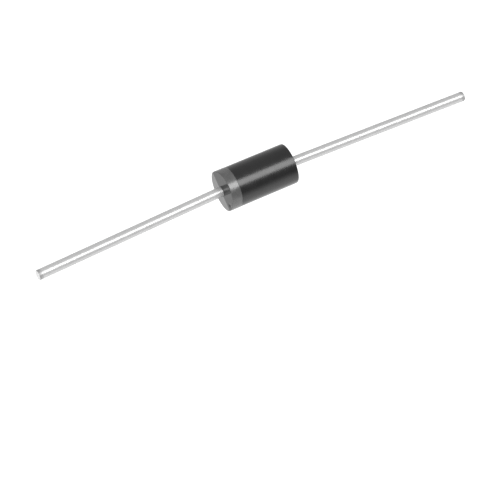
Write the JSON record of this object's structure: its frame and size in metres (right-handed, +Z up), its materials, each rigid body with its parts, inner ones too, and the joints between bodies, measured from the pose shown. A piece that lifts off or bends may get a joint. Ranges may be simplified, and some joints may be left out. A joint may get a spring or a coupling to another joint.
{
  "type": "axial rectifier diode",
  "caption": "Axial-lead rectifier diode: black moulded cylinder with a grey cathode band and a long tinned wire out of each end.",
  "frame": {"origin": "centre of the moulded body, on the wires' axis", "axes": "+X along the wires, from the banded cathode end to the anode end; +Z up, square to the plane that both wires lie in"},
  "size_m": [0.0596, 0.0052, 0.0052],
  "materials": {
    "epoxy": "semi-gloss moulded epoxy",
    "band_ink": "printed silver-grey ink",
    "tinned_wire": "satin tin plating on drawn copper wire",
    "silicon": "polished silicon",
    "solder": "dull solder",
    "silicone": "cured silicone"
  },
  "bodies": {
    "root": {"moulded_body": "epoxy", "cathode_band": "band_ink", "cathode_lead": "tinned_wire", "anode_lead": "tinned_wire", "silicon_die": "silicon", "cathode_solder": "solder", "anode_solder": "solder", "junction_coating": "silicone"}
  },
  "joints": []
}
